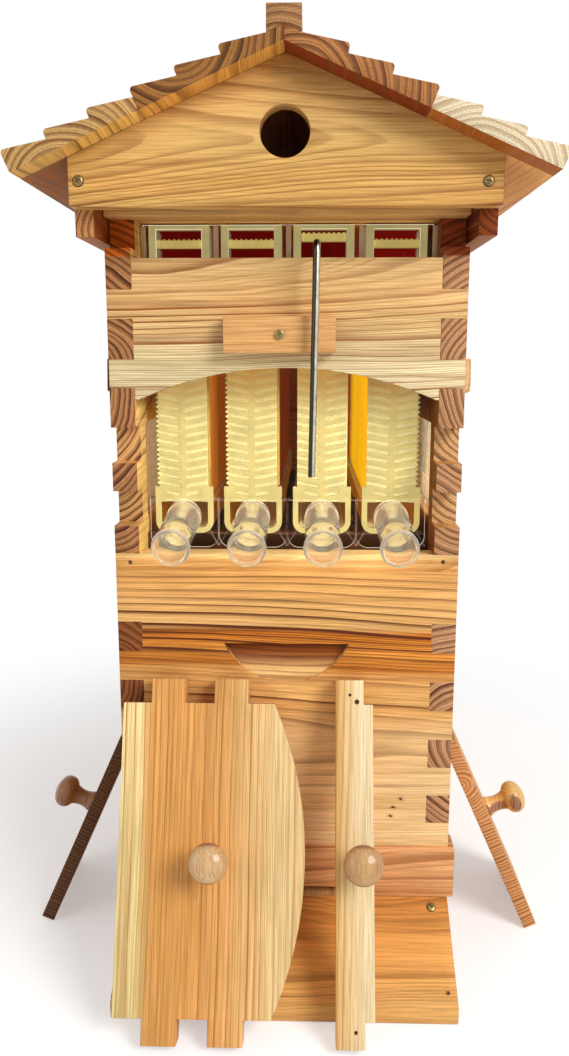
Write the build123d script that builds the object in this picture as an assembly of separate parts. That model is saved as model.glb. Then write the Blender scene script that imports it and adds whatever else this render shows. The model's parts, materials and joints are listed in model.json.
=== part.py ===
from build123d import *
from math import asin, cos, radians, sin, tan
import os

os.makedirs("parts", exist_ok=True)

# Hive boxes
box_w = 280.0
box_d = 508.0
wall = 20.0
fit = 0.5
brood_h = 244.0
brood_top_finger = 44.0
brood_low_finger = 22.0
brood_fingers = 7
rabbet_d = 10.0
rabbet_h = 18.0
grip_w = 104.0
grip_h = 34.0
grip_depth = 13.0
grip_drop = 62.0

# Super front, read from the top down
slot_h = 31.0
slot_tab = 23.5
side_finger = 31.0
board_finger = 22.4
cover_tab = 28.4
low_finger = 22.9
rail_h = 14.0
arch_rise = 25.0
arch_spring = 124.5
arch_shoulder = 2.0

# Base
base_h = 64.0
rim_h = 45.0
rim_proud = 5.0
landing_run = 75.0
landing_t = 14.0
floor_t = 10.0
entrance_w = 120.0
entrance_h = 8.0

# Brood frames
brood_count = 6
brood_side = 6.0
bee_space = 6.0
topbar_w = 25.0
topbar_h = 20.0
lug_h = 10.0
endbar_t = 10.0
frame_end = 8.0
bottombar_h = 10.0
frame_short = 16.0
foundation_t = 4.0
excluder_t = 3.0
excluder_slot = 5.0
excluder_cols = 22
excluder_rows = 6

# Harvest frames, set back behind the front face
flow_count = 4
flow_side = 3.0
flow_gap = 9.5
flow_back = 36.0
flow_rear = 12.0
flow_drop = 2.0
cover_t = 2.5
cover_below = 12.0
cover_corner = 10.0
head_h = 30.0
head_wall = 6.0
head_roof = 3.0
trough_h = 28.0
trough_wall = 4.5
trough_corner = 10.0
trough_lift = 24.0
leaf_pairs = 8
leaf_gap = 0.4
leaf_root = 1.0
leaf_inset = 3.5
ear_w = 10.0
ear_h = 12.0
rib_pitch = 7.1
rib_h = 3.0
rib_t = 2.0
rib_slope = 11.0
spine_w = 4.2
bar_h = 5.5
bar_drop = 11.5
stem_w = 9.0
comb_lift = 5.0
comb_clear = 1.0
rest_w = 18.0
rest_h = 14.0

# Key with its lifting cam
key_d = 5.6
key_offset = -6.0
key_reach = 24.0
key_drop = 175.0
key_bend = 7.0
key_depth = 300.0
key_tilt = 1.0
key_swing = 85.0
cam_r = 8.0
cam_gap = 0.3
cam_steps = 10

# Honey tubes
tube_d = 28.4
tube_bore = 24.0
tube_out = 46.0
tube_fall = 7.0
lip_d = 30.4
lip_l = 5.0
tube_clear = 0.3

# Turn blocks
block_l = 86.0
block_h = 27.5
block_t = 15.0
block_round = 1.5
block_x = -5.0
block_z = 89.0
side_block_y = 104.0
side_block_z = 126.0
side_block_tilt = 7.0
screw_d = 5.0
screw_head_d = 9.0
screw_head_t = 3.0
screw_run = 0.05
screw_bite = 15.0

# Side windows
side_cover_l = 200.0
side_cover_h = 100.0
side_cover_t = 12.0
window_lip = 10.0
window_y = 132.0
window_z = 28.0
pane_t = 3.0

# Knobs
knob_r = 15.2
knob_l = 38.0
knob_foot = 9.5
knob_neck = 7.5
knob_foot_h = 2.3
knob_neck_h = 11.4
knob_head_h = 19.0
knob_wide_h = 27.4
knob_dome = 2.3
strip_knob_drop = 20.0

# Lids
board_t = 8.0
feed_hole = 50.0
rail_t = 14.0
rail_clear = 1.0
rail_drop = 19.0
gable_t = 16.0
gable_out = 43.0
gable_rise = 101.5
gable_hole = 35.5
gable_hole_z = 50.0
roof_pitch = 23.6
roof_over = 24.0
slat_valley = 9.2
slat_nose = 15.5
slat_step = 32.9
slat_round = 2.6
slat_steps = 3
cap_w = 24.0
cap_h = 18.0
cleat_h = 16.0

# Covers standing outside
lean = 21.0
side_lean = 24.0
touch = 0.2
cover_inset = 8.0
strip_gap = 24.5
side_stand = 45.0

half_w = box_w / 2
half_d = box_d / 2
in_w = half_w - wall
in_d = half_d - wall
front = -half_d
brood_z = base_h + rim_h
super_z = brood_z + brood_h
super_h = slot_tab + 3 * side_finger + 2 * board_finger + 2 * cover_tab + 2 * low_finger + rail_h
top_z = super_z + super_h
panel_t = wall - 2 * fit
panel_l = box_w - 4 * fit
roof_half = half_w + rail_clear + rail_t


def block(x0, x1, y0, y1, z0, z1):
    return Pos((x0 + x1) / 2, (y0 + y1) / 2, (z0 + z1) / 2) * Box(x1 - x0, y1 - y0, z1 - z0)


def prism(points, axis, start, depth):
    if axis == "X":
        corners = [(start, a, b) for a, b in points]
        way = (1, 0, 0)
    elif axis == "Y":
        corners = [(a, start, b) for a, b in points]
        way = (0, 1, 0)
    else:
        corners = [(a, b, start) for a, b in points]
        way = (0, 0, 1)
    face = make_face(Polyline(*corners, close=True))
    return extrude(face, amount=depth, dir=way)


def rod(radius, start, way, length):
    return Plane(origin=start, z_dir=way) * Cylinder(
        radius, length, align=(Align.CENTER, Align.CENTER, Align.MIN)
    )


def group(solids):
    return Compound(children=[s.solid() for s in solids])


def stack(z, spans):
    levels = []
    for kind, height in spans:
        levels.append((z, z + height, kind))
        z += height
    return levels


def stepped(levels, long, short, kinds):
    right = []
    for z0, z1, kind in levels:
        reach = long if kind in kinds else short
        right += [(reach, z0), (reach, z1)]
    outline = right + [(-a, z) for a, z in reversed(right)]
    return [p for i, p in enumerate(outline) if p != outline[i - 1]]


def end_wall(levels, kinds, start):
    return prism(stepped(levels, half_w, in_w, kinds), "Y", start, wall)


def side_wall(levels, start):
    return prism(stepped(levels, half_d, in_d, "S"), "X", start, wall)


def grip(z):
    half = grip_w / 2
    moon = make_face(
        [
            Line((-half, 0, z), (half, 0, z)),
            ThreePointArc((half, 0, z), (0, 0, z - grip_h), (-half, 0, z)),
        ]
    )
    wedge = prism([(0, z), (grip_depth, z), (0, z - grip_h)], "X", -half, grip_w)
    return extrude(moon, amount=grip_depth, dir=(0, 1, 0)) & wedge


def knob():
    dome_z = knob_l - knob_dome
    dome_r = (knob_foot**2 + knob_dome**2) / (2 * knob_dome)
    dome_a = asin(knob_foot / dome_r) / 2
    profile = [
        Line((0, 0, 0), (knob_foot, 0, 0)),
        Line((knob_foot, 0, 0), (knob_foot, 0, knob_foot_h)),
        ThreePointArc(
            (knob_foot, 0, knob_foot_h), (knob_neck, 0, knob_neck_h), (knob_foot, 0, knob_head_h)
        ),
        ThreePointArc(
            (knob_foot, 0, knob_head_h), (knob_r, 0, knob_wide_h), (knob_foot, 0, dome_z)
        ),
        ThreePointArc(
            (knob_foot, 0, dome_z),
            (dome_r * sin(dome_a), 0, knob_l - dome_r + dome_r * cos(dome_a)),
            (0, 0, knob_l),
        ),
        Line((0, 0, knob_l), (0, 0, 0)),
    ]
    return Rot(90, 0, 0) * revolve(make_face(profile), Axis.Z)


parts = {}

# Base with landing board
slope_front = front - rim_proud
tip = slope_front - landing_run
base_outline = [
    (half_d, 0),
    (half_d, base_h),
    (slope_front, base_h),
    (slope_front, base_h - landing_t),
    (tip, 0),
]
landing_outline = [
    (slope_front, base_h),
    (tip, landing_t),
    (tip, 0),
    (slope_front, base_h - landing_t),
]
parts["base_side_left"] = prism(base_outline, "X", -half_w, wall)
parts["base_side_right"] = prism(base_outline, "X", in_w, wall)
rear_board = block(-in_w, in_w, in_d, half_d, 0, base_h)
bearer = block(-in_w, in_w, -wall, wall, 0, base_h - floor_t)
parts["base_cross_boards"] = group([rear_board, bearer])
parts["landing_board"] = prism(landing_outline, "X", -half_w, box_w)
parts["floor_board"] = block(-in_w, in_w, slope_front, in_d, base_h - floor_t, base_h)
rim_w = half_w + rim_proud
rim_d = half_d + rim_proud
rim_round = rim_proud * 0.9
rim_front = block(-rim_w, rim_w, -rim_d, -in_d, base_h, brood_z)
rim_front = fillet(rim_front.edges().group_by(Axis.Z)[-1].group_by(Axis.Y)[0], rim_round)
rim_front -= block(-entrance_w / 2, entrance_w / 2, -rim_d, -in_d, base_h, base_h + entrance_h)
rim_rear = block(-rim_w, rim_w, in_d, rim_d, base_h, brood_z)
rim_side = block(in_w, rim_w, -in_d, in_d, base_h, brood_z)
parts["rim_front"] = rim_front
parts["rim_rear"] = fillet(rim_rear.edges().group_by(Axis.Z)[-1].group_by(Axis.Y)[-1], rim_round)
rim_side = fillet(rim_side.edges().group_by(Axis.Z)[-1].group_by(Axis.X)[-1], rim_round)
parts["rim_right"] = rim_side
parts["rim_left"] = mirror(rim_side, about=Plane.YZ)

# Brood box
finger = (brood_h - brood_top_finger - brood_low_finger) / brood_fingers
brood_spans = [("F", brood_low_finger)]
brood_spans += [("S" if i % 2 == 0 else "F", finger) for i in range(brood_fingers)]
brood_spans += [("F", brood_top_finger)]
brood_levels = stack(brood_z, brood_spans)
rabbet_z = super_z - rabbet_h
grip_z = super_z - grip_drop
ledge = block(-in_w, in_w, -in_d - rabbet_d, -in_d, rabbet_z, super_z)
brood_front = end_wall(brood_levels, "F", front) - ledge - Pos(0, front, 0) * grip(grip_z)
brood_wall = side_wall(brood_levels, in_w) - Pos(half_w, 0, 0) * Rot(0, 0, 90) * grip(grip_z)
parts["brood_front"] = brood_front
parts["brood_rear"] = mirror(brood_front, about=Plane.XZ)
parts["brood_right"] = brood_wall
parts["brood_left"] = mirror(brood_wall, about=Plane.YZ)

# Brood frames hang by their lugs in the rabbets, with the excluder laid on top
bar_z = rabbet_z + lug_h
bar_l = in_d + rabbet_d - fit
end_y = in_d - frame_end
brood_pitch = 2 * (in_w - brood_side) / brood_count
endbar_w = brood_pitch - bee_space
frame_h = brood_h - frame_short
frames = []
sheets = []
for i in range(brood_count):
    x = (i - (brood_count - 1) / 2) * brood_pitch
    half_bar = topbar_w / 2
    wood = block(x - half_bar, x + half_bar, -bar_l, bar_l, rabbet_z, bar_z)
    wood += block(x - half_bar, x + half_bar, -end_y, end_y, bar_z - topbar_h, bar_z)
    for y in (-end_y, end_y - endbar_t):
        wood += block(
            x - endbar_w / 2, x + endbar_w / 2, y, y + endbar_t, bar_z - frame_h, bar_z - topbar_h
        )
    wood += block(
        x - half_bar, x + half_bar, -end_y, end_y, bar_z - frame_h, bar_z - frame_h + bottombar_h
    )
    frames.append(wood)
    sheets.append(
        block(
            x - foundation_t / 2,
            x + foundation_t / 2,
            -end_y + endbar_t,
            end_y - endbar_t,
            bar_z - frame_h + bottombar_h,
            bar_z - topbar_h,
        )
    )
parts["brood_frames"] = group(frames)
parts["brood_foundations"] = group(sheets)
mesh_w = 2 * (in_w - fit)
mesh_d = 2 * (in_d - fit)
mesh_col = mesh_w / (excluder_cols + 1)
mesh_row = mesh_d / (excluder_rows + 0.4)
mesh = Rectangle(mesh_w, mesh_d)
mesh -= GridLocations(mesh_col, mesh_row, excluder_cols, excluder_rows) * Rectangle(
    excluder_slot, mesh_row - 2 * excluder_slot
)
parts["queen_excluder"] = Pos(0, 0, bar_z) * extrude(mesh, excluder_t)

# Super walls with the arched front board and side windows
super_spans = [
    ("R", rail_h),
    ("S", low_finger),
    ("T", cover_tab),
    ("S", low_finger),
    ("T", cover_tab),
    ("S", side_finger),
    ("F", board_finger),
    ("S", side_finger),
    ("F", board_finger),
    ("S", side_finger),
    ("T", slot_tab),
]
super_levels = stack(super_z, super_spans)
sill_z = super_z + rail_h
slot_z = top_z - slot_h
spring_z = sill_z + arch_spring
arch_w = in_w - arch_shoulder


def arch(half, z, rise):
    return make_face(
        [
            ThreePointArc((-half, 0, z), (0, 0, z + rise), (half, 0, z)),
            Line((half, 0, z), (-half, 0, z)),
        ]
    )


board_levels = [
    (max(z0, spring_z), min(z1, slot_z), kind)
    for z0, z1, kind in super_levels
    if z1 > spring_z and z0 < slot_z
]
front_board = end_wall(board_levels, "F", front)
front_board -= Pos(0, front, 0) * extrude(arch(arch_w, spring_z, arch_rise), wall, dir=(0, 1, 0))
turn_z = top_z - block_z
front_board -= rod(screw_d / 2, (block_x, front, turn_z), (0, 1, 0), screw_bite)
parts["super_front"] = front_board
parts["super_rail"] = block(-half_w, half_w, front, -in_d, super_z, sill_z)
parts["super_rear"] = end_wall(super_levels, "RTF", in_d)
win_y = front + window_y
win_z = super_z + window_z + side_cover_h / 2
reb_l = side_cover_l / 2 + fit
reb_h = side_cover_h / 2 + fit
see_l = side_cover_l / 2 - window_lip
see_h = side_cover_h / 2 - window_lip
reb_x = half_w - side_cover_t - pane_t
side_turn_y = front + side_block_y
side_turn_z = top_z - side_block_z
super_side = side_wall(super_levels, in_w)
super_side -= block(reb_x, half_w, win_y - reb_l, win_y + reb_l, win_z - reb_h, win_z + reb_h)
super_side -= block(in_w, half_w, win_y - see_l, win_y + see_l, win_z - see_h, win_z + see_h)
super_side -= rod(screw_d / 2, (half_w, side_turn_y, side_turn_z), (-1, 0, 0), screw_bite)
pane = block(reb_x, reb_x + pane_t, win_y - reb_l, win_y + reb_l, win_z - reb_h, win_z + reb_h)
parts["super_right"] = super_side
parts["super_left"] = mirror(super_side, about=Plane.YZ)
parts["side_panes"] = group([pane, mirror(pane, about=Plane.YZ)])

# Turn blocks on their screws, head outward along -Y before turning
turn = block(-block_l / 2, block_l / 2, -block_t, 0, -block_h / 2, block_h / 2)
turn = fillet(turn.edges().filter_by(Axis.Y), block_round)
turn -= rod(screw_d / 2 + screw_run, (0, -block_t, 0), (0, 1, 0), block_t)
screw = rod(screw_head_d / 2, (0, -block_t - screw_head_t, 0), (0, 1, 0), screw_head_t)
screw += rod(screw_d / 2, (0, -block_t, 0), (0, 1, 0), block_t + screw_bite)
to_front = Pos(block_x, front, turn_z)
to_right = Pos(half_w, side_turn_y, side_turn_z) * Rot(0, 0, 90)
to_left = Pos(-half_w, side_turn_y, side_turn_z) * Rot(0, 0, -90)
parts["front_turn_block"] = to_front * turn
parts["right_turn_block"] = to_right * Rot(0, side_block_tilt, 0) * turn
parts["left_turn_block"] = to_left * Rot(0, -side_block_tilt, 0) * turn
parts["turn_screws"] = group([to_front * screw, to_right * screw, to_left * screw])

# Harvest frames: fixed comb, lifting comb between its leaves, clear end cover
flow_y = front + flow_back
body_y = flow_y + cover_t
rear_y = in_d - flow_rear
flow_pitch = 2 * (in_w - flow_side) / flow_count
flow_w = flow_pitch - flow_gap
flow_top = top_z - flow_drop
flow_foot = super_z + trough_lift
half_f = flow_w / 2
half_leaf = half_f - leaf_inset
head_in = half_f - head_wall
head_z = flow_top - head_h
leaf_top = head_z + leaf_root
trough_top = flow_foot + trough_h
leaf_run = (rear_y - body_y - rib_t) / (2 * leaf_pairs + 1)
leaf_y = body_y + rib_t
bar_low = flow_top - bar_drop - bar_h
tube_z = flow_foot + trough_h / 2

head = block(-half_f, half_f, body_y, rear_y, head_z, flow_top)
head -= block(-head_in, head_in, body_y, rear_y - head_wall, head_z, flow_top - head_roof)
gutter = block(-half_f, half_f, body_y, rear_y, flow_foot, trough_top)
gutter = fillet(gutter.edges().filter_by(Axis.Y).group_by(Axis.Z)[0], trough_corner)
inner_f = half_f - trough_wall
channel = block(-inner_f, inner_f, body_y, rear_y - head_wall, flow_foot + trough_wall, trough_top)
channel = fillet(channel.edges().filter_by(Axis.Y).group_by(Axis.Z)[0], trough_corner - trough_wall)
gutter -= channel
flow_body = head + gutter
for i in range(leaf_pairs + 1):
    y = leaf_y + 2 * i * leaf_run
    flow_body += block(-half_leaf, half_leaf, y, y + leaf_run, trough_top - leaf_root, leaf_top)
rib_top = leaf_top - half_f * tan(radians(rib_slope)) - rib_h
rib_count = int((rib_top - trough_top) / rib_pitch)
rise = inner_f * tan(radians(rib_slope))
ribs = [block(-spine_w / 2, spine_w / 2, body_y, leaf_y, trough_top, rib_top)]
for x in (-half_f, half_f - ear_w):
    ribs.append(block(x, x + ear_w, body_y, leaf_y + rib_t, trough_top - leaf_root, trough_top + ear_h))
for i in range(rib_count):
    z = trough_top + i * rib_pitch
    chevron = [
        (0, z),
        (inner_f, z + rise),
        (inner_f, z + rise + rib_h),
        (0, z + rib_h),
        (-inner_f, z + rise + rib_h),
        (-inner_f, z + rise),
    ]
    ribs.append(prism(chevron, "Y", body_y, rib_t))
flow_body = flow_body.fuse(*ribs).clean()

comb = block(-head_in + fit, head_in - fit, body_y, rear_y - head_wall - fit, bar_low, bar_low + bar_h)
stem_x = head_in - fit - stem_w
blade_top = head_z - comb_lift - comb_clear
for i in range(leaf_pairs):
    y0 = leaf_y + (2 * i + 1) * leaf_run + leaf_gap
    y1 = leaf_y + (2 * i + 2) * leaf_run - leaf_gap
    comb += block(-half_leaf, half_leaf, y0, y1, trough_top, blade_top)
    comb += block(stem_x, stem_x + stem_w, y0, y1, blade_top, bar_low)

tube_way = (0, -cos(radians(tube_fall)), -sin(radians(tube_fall)))
tube_y = body_y - fit - tube_d / 2 * sin(radians(tube_fall))
tube_run = (tube_y - front + tube_out) / cos(radians(tube_fall))
tube_start = (0, tube_y, tube_z)
plate_w = flow_pitch / 2 - fit
plate = block(-plate_w, plate_w, flow_y, body_y, flow_foot - cover_below, flow_top)
plate = fillet(plate.edges().filter_by(Axis.Y).group_by(Axis.Z)[0], cover_corner)
plate -= block(-head_in, head_in, flow_y, body_y, head_z, flow_top - head_roof)
hole_start = [c - w * tube_d for c, w in zip(tube_start, tube_way)]
plate -= rod(tube_d / 2 + tube_clear, hole_start, tube_way, 2 * tube_d)

tube = rod(tube_d / 2, tube_start, tube_way, tube_run)
lip_start = [c + w * (tube_run - lip_l) for c, w in zip(tube_start, tube_way)]
tube += rod(lip_d / 2, lip_start, tube_way, lip_l)
tube -= rod(tube_bore / 2, tube_start, tube_way, tube_run)

flow_x = [(i - (flow_count - 1) / 2) * flow_pitch for i in range(flow_count)]
keyed = flow_count // 2
plates = []
for i, x in enumerate(flow_x):
    raised = comb_lift if i == keyed else 0
    parts[f"harvest_frame_{i + 1}"] = Pos(x, 0, 0) * flow_body
    parts[f"lifting_comb_{i + 1}"] = Pos(x, 0, raised) * comb
    parts[f"honey_tube_{i + 1}"] = Pos(x, 0, 0) * tube
    plates.append(Pos(x, 0, 0) * plate)
parts["clear_end_covers"] = group(plates)
rest_z = flow_foot - rest_h
rest = block(-in_w, in_w, body_y, body_y + rest_w, rest_z, flow_foot)
rests = [rest, Pos(0, rear_y - body_y - rest_w, 0) * rest]
parts["frame_rests"] = group(rests)

# Key: the cam flank is an involute, so the comb lifts evenly as the handle turns
cam_rate = comb_lift / radians(key_swing)
cam_x = flow_x[keyed] + key_offset
cam_z = bar_low + comb_lift - cam_gap - cam_r
cam_points = [(key_d / 2, 0)]
for i in range(cam_steps + 1):
    turned = radians(key_swing) * i / cam_steps
    height = cam_r - cam_rate * turned
    flank_x = cam_rate * cos(turned) - height * sin(turned)
    flank_z = cam_rate * sin(turned) + height * cos(turned)
    cam_points.append((flank_x, flank_z))
cam_points.append((-key_d / 2, 0))
shaft_y = front - key_reach
key_end = flow_y + key_depth
key_path = FilletPolyline((0, key_end, 0), (0, shaft_y, 0), (0, shaft_y, -key_drop), radius=key_bend)
key = sweep(Plane(origin=(0, key_end, 0), z_dir=(0, -1, 0)) * Circle(key_d / 2), key_path)
key += prism(cam_points, "Y", leaf_y, key_end - leaf_y)
parts["harvest_key"] = Pos(cam_x, 0, cam_z) * Rot(0, key_tilt, 0) * key

# Covers stand on one end, leaning back against the brood box
cover_z0 = sill_z + fit
cover = block(-in_w + fit, in_w - fit, -panel_t, 0, 0, arch_spring - 2 * fit)
cover += Pos(0, -panel_t, arch_spring - 2 * fit) * extrude(
    arch(arch_w, 0, arch_rise), panel_t, dir=(0, 1, 0)
)
for z0, z1, kind in super_levels:
    if kind == "T" and z1 < spring_z:
        cover += block(
            -panel_l / 2, panel_l / 2, -panel_t, 0, z0 - cover_z0 + fit, z1 - cover_z0 - fit
        )
strip_h = slot_h - 2 * fit
strip = block(-in_w + fit, in_w - fit, -panel_t, 0, 0, strip_h)
strip += block(-panel_l / 2, panel_l / 2, -panel_t, 0, strip_h - slot_tab + 2 * fit, strip_h)
side_cover = block(
    -side_cover_l / 2, side_cover_l / 2, -side_cover_t, 0, -side_cover_h / 2, side_cover_h / 2
)
foot_y = front - touch - panel_l * sin(radians(lean))
cover_x = cover_inset - half_w
strip_x = cover_x + arch_spring - 2 * fit + arch_rise + strip_gap
stand_cover = Pos(cover_x, foot_y, 0) * Rot(-lean, 0, 0) * Pos(0, 0, panel_l / 2) * Rot(0, 90, 0)
stand_strip = (
    Pos(strip_x + strip_h, foot_y, 0) * Rot(-lean, 0, 0) * Pos(0, 0, panel_l / 2) * Rot(0, -90, 0)
)
parts["arch_cover"] = stand_cover * cover
parts["arch_cover_knob"] = stand_cover * Pos(0, -panel_t, (arch_spring + arch_rise) / 2) * knob()
parts["access_strip"] = stand_strip * strip
parts["access_strip_knob"] = stand_strip * Pos(0, -panel_t, strip_h - strip_knob_drop) * knob()
side_foot = half_w + touch + side_cover_l * sin(radians(side_lean))
side_y = front + side_stand + side_cover_h / 2
side_up = Rot(-side_lean, 0, 0) * Pos(0, 0, side_cover_l / 2) * Rot(0, 90, 0)
stand_right = Pos(side_foot, side_y, 0) * Rot(0, 0, 90) * side_up
stand_left = Pos(-side_foot, side_y, 0) * Rot(0, 0, -90) * side_up
parts["side_cover_right"] = stand_right * side_cover
parts["side_cover_right_knob"] = stand_right * Pos(0, -side_cover_t, 0) * knob()
parts["side_cover_left"] = stand_left * side_cover
parts["side_cover_left_knob"] = stand_left * Pos(0, -side_cover_t, 0) * knob()

# Inner cover
lid_z = top_z + board_t
parts["inner_cover"] = block(-half_w, half_w, -half_d, half_d, top_z, lid_z) - Pos(
    0, 0, top_z
) * Cylinder(feed_hole / 2, 4 * board_t)

# Roof, with shingle steps milled into two slats on each slope
pitch = radians(roof_pitch)
apex_z = top_z + gable_rise
gable_y = half_d + gable_out
rail_y = gable_y - gable_t
slat_y = gable_y + roof_over


def under(x):
    return apex_z - x * tan(pitch)


def on_slope(s, n):
    return (s * cos(pitch) + n * sin(pitch), apex_z - s * sin(pitch) + n * cos(pitch))


gable = prism(
    [
        (-roof_half, top_z),
        (roof_half, top_z),
        (roof_half, under(roof_half)),
        (0, apex_z),
        (-roof_half, under(roof_half)),
    ],
    "Y",
    -gable_y,
    gable_t,
)
gable -= rod(gable_hole / 2, (0, -gable_y, top_z + gable_hole_z), (0, 1, 0), gable_t)
parts["gable_front"] = gable
parts["gable_rear"] = mirror(gable, about=Plane.XZ)
rail_in = roof_half - rail_t
rail = prism(
    [
        (rail_in, top_z - rail_drop),
        (roof_half, top_z - rail_drop),
        (roof_half, under(roof_half)),
        (rail_in, under(rail_in)),
    ],
    "Y",
    -rail_y,
    2 * rail_y,
)
parts["roof_rail_right"] = rail
parts["roof_rail_left"] = mirror(rail, about=Plane.YZ)
cleat = block(rail_in - rail_t, rail_in, -rail_y, rail_y, lid_z, lid_z + cleat_h)
parts["roof_cleats"] = group([cleat, mirror(cleat, about=Plane.YZ)])

slat_start = (cap_w / 2 - slat_valley * sin(pitch)) / cos(pitch)


def slat(first):
    low = slat_start + first * slat_step
    lines = []
    if first == 0:
        ridge = (0, apex_z + slat_valley / cos(pitch))
        here = on_slope(low, slat_valley)
        lines += [((0, apex_z), ridge), (ridge, here)]
    else:
        here = on_slope(low, slat_valley)
        lines += [(on_slope(low, 0), here)]
    start = lines[0][0]
    edges = [Line((a[0], -slat_y, a[1]), (b[0], -slat_y, b[1])) for a, b in lines]
    for i in range(slat_steps):
        nose = low + (i + 1) * slat_step
        crest = on_slope(nose - slat_round, slat_nose)
        bulge = on_slope(nose - 0.3 * slat_round, slat_nose - 0.3 * slat_round)
        chin = on_slope(nose, slat_nose - slat_round)
        foot = on_slope(nose, slat_valley)
        edges.append(Line((here[0], -slat_y, here[1]), (crest[0], -slat_y, crest[1])))
        edges.append(
            ThreePointArc(
                (crest[0], -slat_y, crest[1]),
                (bulge[0], -slat_y, bulge[1]),
                (chin[0], -slat_y, chin[1]),
            )
        )
        edges.append(Line((chin[0], -slat_y, chin[1]), (foot[0], -slat_y, foot[1])))
        here = foot
    low_end = on_slope(low + slat_steps * slat_step, 0)
    edges.append(Line((here[0], -slat_y, here[1]), (low_end[0], -slat_y, low_end[1])))
    edges.append(Line((low_end[0], -slat_y, low_end[1]), (start[0], -slat_y, start[1])))
    return extrude(make_face(edges), 2 * slat_y, dir=(0, 1, 0))


for name, first in (("upper", 0), ("lower", slat_steps)):
    board = slat(first)
    parts[f"roof_slat_{name}_right"] = board
    parts[f"roof_slat_{name}_left"] = mirror(board, about=Plane.YZ)
cap_foot = apex_z + slat_valley / cos(pitch) - cap_w / 2 * tan(pitch)
cap = [
    (-cap_w / 2, cap_foot),
    (0, apex_z + slat_valley / cos(pitch)),
    (cap_w / 2, cap_foot),
    (cap_w / 2, cap_foot + cap_h),
    (-cap_w / 2, cap_foot + cap_h),
]
parts["ridge_cap"] = prism(cap, "Y", -slat_y, 2 * slat_y)

for name, shape in parts.items():
    export_step(shape, f"parts/{name}.step")
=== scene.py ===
import bpy
import json
import math
from mathutils import Matrix, Vector

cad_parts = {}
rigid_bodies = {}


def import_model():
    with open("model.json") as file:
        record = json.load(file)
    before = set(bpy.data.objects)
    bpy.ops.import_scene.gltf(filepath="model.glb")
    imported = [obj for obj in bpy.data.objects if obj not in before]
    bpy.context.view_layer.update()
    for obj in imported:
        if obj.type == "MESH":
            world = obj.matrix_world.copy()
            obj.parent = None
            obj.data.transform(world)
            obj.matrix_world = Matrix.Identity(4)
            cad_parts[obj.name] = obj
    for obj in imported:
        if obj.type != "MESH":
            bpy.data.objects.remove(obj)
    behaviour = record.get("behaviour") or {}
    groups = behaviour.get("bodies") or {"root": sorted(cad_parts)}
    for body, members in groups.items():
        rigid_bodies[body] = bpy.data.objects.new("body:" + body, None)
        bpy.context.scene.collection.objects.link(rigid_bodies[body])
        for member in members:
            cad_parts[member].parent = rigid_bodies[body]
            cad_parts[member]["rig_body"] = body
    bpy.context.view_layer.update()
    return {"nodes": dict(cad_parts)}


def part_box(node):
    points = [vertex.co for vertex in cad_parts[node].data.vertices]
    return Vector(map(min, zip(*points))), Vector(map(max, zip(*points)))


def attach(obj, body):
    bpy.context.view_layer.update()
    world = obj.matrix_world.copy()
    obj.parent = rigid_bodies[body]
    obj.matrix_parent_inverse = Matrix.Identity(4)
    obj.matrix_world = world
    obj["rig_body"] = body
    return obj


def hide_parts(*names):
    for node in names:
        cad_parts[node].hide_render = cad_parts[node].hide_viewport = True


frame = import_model()
nodes = frame["nodes"]
scene = bpy.context.scene

# camera, at the place and angle of the photograph
cameraView = {
    "place": (0.01775, -0.96617, 0.525),
    "pitchDown": 10.822,
    "turnLeft": 1.541,
    "lens": 30.50,
    "sensor": 36.0,  # the picture's long side
    "nearest": 0.02,
}
cameraData = bpy.data.cameras.new("photoCamera")
cameraData.lens = cameraView["lens"]
cameraData.sensor_width = cameraView["sensor"]
cameraData.clip_start = cameraView["nearest"]
camera = bpy.data.objects.new("photoCamera", cameraData)
scene.collection.objects.link(camera)
camera.location = cameraView["place"]
camera.rotation_euler = (math.radians(90 - cameraView["pitchDown"]), 0, math.radians(cameraView["turnLeft"]))
scene.camera = camera
scene.view_settings.view_transform = "Standard"
print("camera set")


# small helpers for node trees
building = []  # node trees in the order they were started


def feed(socket, value):
    if isinstance(value, bpy.types.NodeSocket):
        building[-1].links.new(value, socket)
    else:
        socket.default_value = value


def addNode(kind, inputs=None, **settings):
    node = building[-1].nodes.new("ShaderNode" + kind)
    for key, value in settings.items():
        setattr(node, key, value)
    for key, value in (inputs or {}).items():
        feed(node.inputs[key], value)
    return node


def calc(operation, *values, clamp=False):
    node = addNode("Math", operation=operation, use_clamp=clamp)
    for socket, value in zip(node.inputs, values):
        feed(socket, value)
    return node.outputs[0]


def times(first, second):
    return calc("MULTIPLY", first, second)


def spread(value, low, high, toLow=0.0, toHigh=1.0, smooth=True):
    node = addNode("MapRange", interpolation_type="SMOOTHSTEP" if smooth else "LINEAR")
    for socket, entry in zip(node.inputs, (value, low, high, toLow, toHigh)):
        feed(socket, entry)
    return node.outputs[0]


def fall(value, low, high):  # full below low, nothing above high
    return spread(value, low, high, 1.0, 0.0)


def mixColour(amount, first, second, kind="MIX"):
    node = addNode("Mix", data_type="RGBA", blend_type=kind)
    for index, value in ((0, amount), (6, first), (7, second)):
        feed(node.inputs[index], value)
    return node.outputs[2]


def stretched(vector, scale, shift):
    return addNode("VectorMath", {0: vector, 1: scale, 2: shift}, operation="MULTIPLY_ADD").outputs[0]


def split(vector):
    return addNode("SeparateXYZ", {0: vector}).outputs


def noise(vector, scale, detail=2.0, rough=0.5, result=0):
    inputs = {"Vector": vector, "Scale": scale, "Detail": detail, "Roughness": rough}
    return addNode("TexNoise", inputs).outputs[result]


def relief(strength, distance, height):
    return addNode("Bump", {"Strength": strength, "Distance": distance, "Height": height}).outputs[0]


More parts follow.
